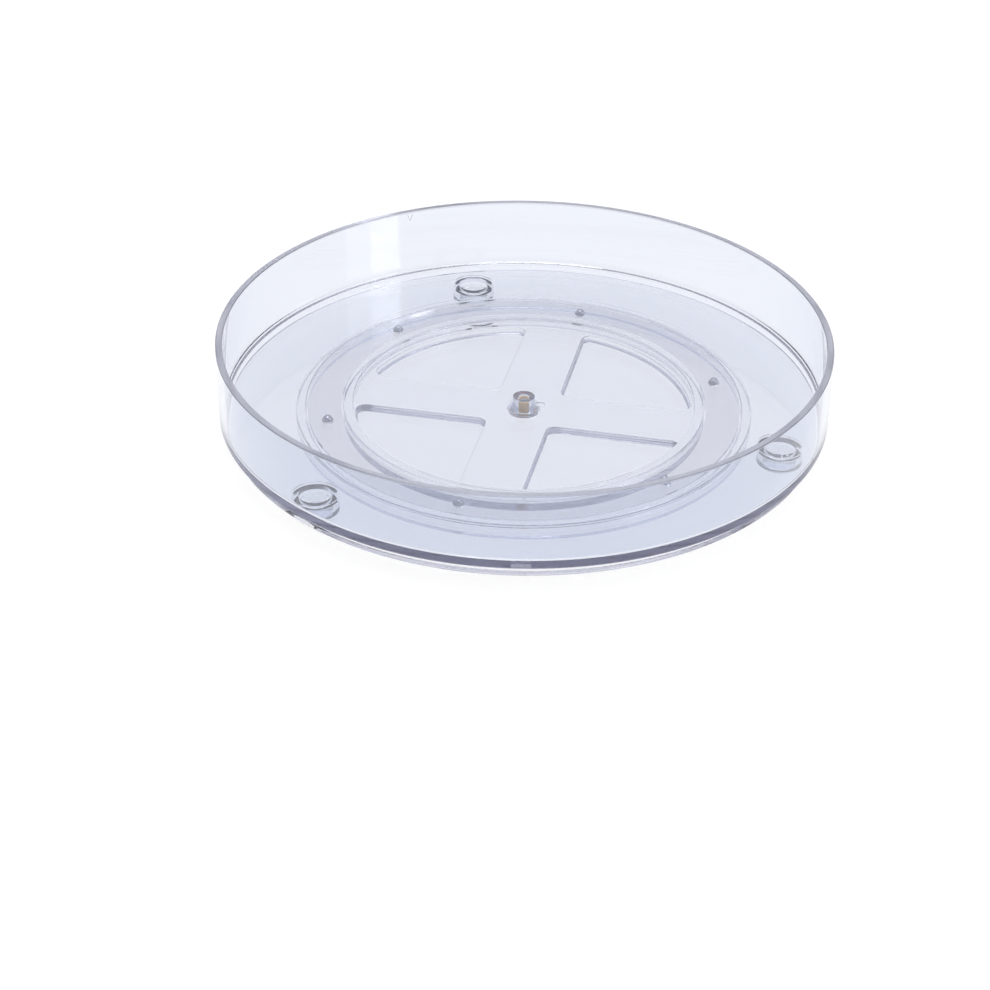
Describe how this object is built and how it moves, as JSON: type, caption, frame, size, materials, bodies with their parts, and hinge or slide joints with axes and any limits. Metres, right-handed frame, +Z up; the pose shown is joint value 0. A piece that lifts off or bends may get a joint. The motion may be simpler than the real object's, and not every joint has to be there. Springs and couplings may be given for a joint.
{
  "type": "turning vanity tray",
  "caption": "Clear round tray with an upright wall that turns on a low clear base through a ball ring and a central screw pivot.",
  "frame": {"origin": "on the table, under the pivot, at the middle of the object's underside", "axes": "+Z up along the tray's turning axis; +X from the pivot through the middle of foot 1"},
  "size_m": [0.29, 0.29, 0.05],
  "materials": {
    "clear_plastic": "clear, polished",
    "cage_plastic": "clear, lightly frosted",
    "ball_steel": "polished",
    "nylon": "plain white",
    "steel": "plain",
    "brass": "turned",
    "clear_silicone": "clear, soft"
  },
  "bodies": {
    "base": {"base": "clear_plastic", "foot_pad_1": "clear_silicone", "foot_pad_2": "clear_silicone", "foot_pad_3": "clear_silicone"},
    "tray": {"tray": "clear_plastic", "threaded_insert": "brass", "pivot_screw": "steel", "pivot_washer": "nylon"},
    "cage": {"ball_cage": "cage_plastic"},
    "ball_1": {"ball_1": "ball_steel"},
    "ball_2": {"ball_2": "ball_steel"},
    "ball_3": {"ball_3": "ball_steel"},
    "ball_4": {"ball_4": "ball_steel"},
    "ball_5": {"ball_5": "ball_steel"},
    "ball_6": {"ball_6": "ball_steel"}
  },
  "joints": [
    {"name": "tray_spin", "type": "hinge", "parent": "base", "child": "tray", "pos_m": [0, 0, 0], "axis": [0, 0, 1], "continuous": true},
    {"name": "cage_spin", "type": "hinge", "parent": "base", "child": "cage", "pos_m": [0, 0, 0], "axis": [0, 0, 1], "continuous": true},
    {"name": "ball_1_spin", "type": "hinge", "parent": "cage", "child": "ball_1", "pos_m": [0.08201, 0.04735, 0.01062], "axis": [0.866, 0.5, 0], "continuous": true},
    {"name": "ball_2_spin", "type": "hinge", "parent": "cage", "child": "ball_2", "pos_m": [0, 0.0947, 0.01062], "axis": [0, 1, 0], "continuous": true},
    {"name": "ball_3_spin", "type": "hinge", "parent": "cage", "child": "ball_3", "pos_m": [-0.08201, 0.04735, 0.01062], "axis": [-0.866, 0.5, 0], "continuous": true},
    {"name": "ball_4_spin", "type": "hinge", "parent": "cage", "child": "ball_4", "pos_m": [-0.08201, -0.04735, 0.01062], "axis": [-0.866, -0.5, 0], "continuous": true},
    {"name": "ball_5_spin", "type": "hinge", "parent": "cage", "child": "ball_5", "pos_m": [0, -0.0947, 0.01062], "axis": [0, -1, 0], "continuous": true},
    {"name": "ball_6_spin", "type": "hinge", "parent": "cage", "child": "ball_6", "pos_m": [0.08201, -0.04735, 0.01062], "axis": [0.866, -0.5, 0], "continuous": true}
  ],
  "couplings": [
    {"joint": "cage_spin", "follows": "tray_spin", "ratio": 0.5},
    {"joint": "ball_1_spin", "follows": "tray_spin", "ratio": -19.895},
    {"joint": "ball_2_spin", "follows": "tray_spin", "ratio": -19.895},
    {"joint": "ball_3_spin", "follows": "tray_spin", "ratio": -19.895},
    {"joint": "ball_4_spin", "follows": "tray_spin", "ratio": -19.895},
    {"joint": "ball_5_spin", "follows": "tray_spin", "ratio": -19.895},
    {"joint": "ball_6_spin", "follows": "tray_spin", "ratio": -19.895}
  ]
}
